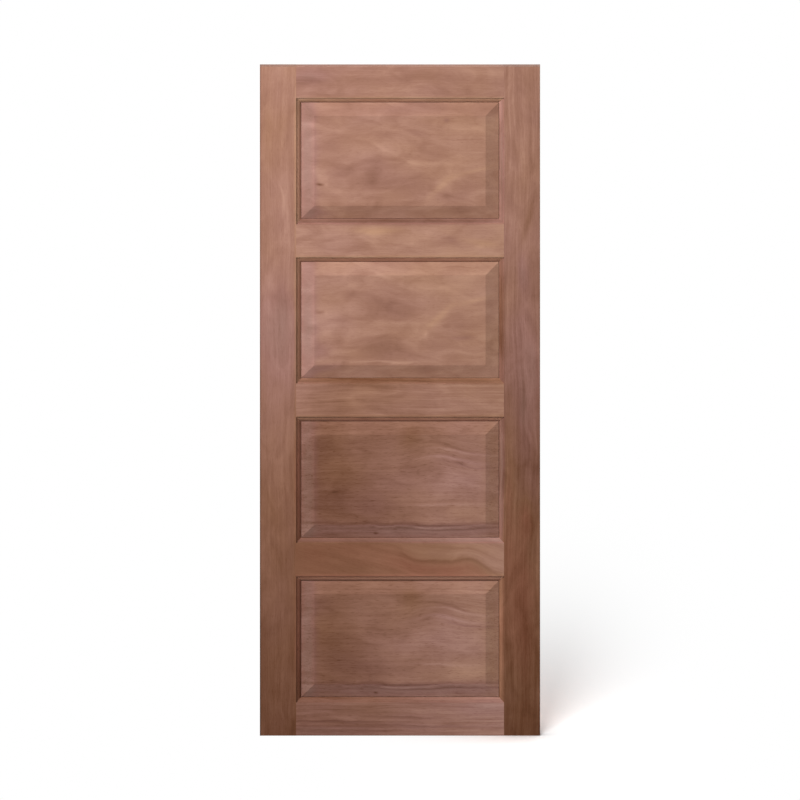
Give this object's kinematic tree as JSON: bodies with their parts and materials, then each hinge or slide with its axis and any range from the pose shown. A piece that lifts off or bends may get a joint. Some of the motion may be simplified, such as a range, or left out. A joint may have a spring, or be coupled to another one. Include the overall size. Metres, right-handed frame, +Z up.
{
  "type": "panel door leaf",
  "caption": "Solid hardwood panel door leaf: stiles and rails with ovolo-moulded inner edges hold raised, bevelled panels; closes a doorway when hung on its edge.",
  "frame": {"origin": "on the hinge edge, at its foot, in the middle of the leaf's thickness", "axes": "+X across the leaf from hinge edge to lock edge, +Y from front face to back face, +Z up"},
  "size_m": [0.838, 0.04, 2.032],
  "materials": {
    "stile_timber": "bare sanded red hardwood",
    "rail_timber": "bare sanded red hardwood",
    "upper_panel_timber": "bare sanded red hardwood",
    "lower_panel_timber": "bare sanded red hardwood",
    "wedge_timber": "bare sawn red hardwood"
  },
  "bodies": {
    "root": {"bottom_panel": "lower_panel_timber", "bottom_rail": "rail_timber", "bottom_rail_hinge_lower_wedge": "wedge_timber", "bottom_rail_hinge_upper_wedge": "wedge_timber", "bottom_rail_lock_lower_wedge": "wedge_timber", "bottom_rail_lock_upper_wedge": "wedge_timber", "frieze_rail": "rail_timber", "frieze_rail_hinge_lower_wedge": "wedge_timber", "frieze_rail_hinge_upper_wedge": "wedge_timber", "frieze_rail_lock_lower_wedge": "wedge_timber", "frieze_rail_lock_upper_wedge": "wedge_timber", "hinge_stile": "stile_timber", "lock_rail": "rail_timber", "lock_rail_hinge_lower_wedge": "wedge_timber", "lock_rail_hinge_upper_wedge": "wedge_timber", "lock_rail_lock_lower_wedge": "wedge_timber", "lock_rail_lock_upper_wedge": "wedge_timber", "lock_stile": "stile_timber", "lower_panel": "lower_panel_timber", "lower_rail": "rail_timber", "lower_rail_hinge_lower_wedge": "wedge_timber", "lower_rail_hinge_upper_wedge": "wedge_timber", "lower_rail_lock_lower_wedge": "wedge_timber", "lower_rail_lock_upper_wedge": "wedge_timber", "top_panel": "upper_panel_timber", "top_rail": "rail_timber", "top_rail_hinge_lower_wedge": "wedge_timber", "top_rail_hinge_upper_wedge": "wedge_timber", "top_rail_lock_lower_wedge": "wedge_timber", "top_rail_lock_upper_wedge": "wedge_timber", "upper_panel": "upper_panel_timber"}
  },
  "joints": []
}
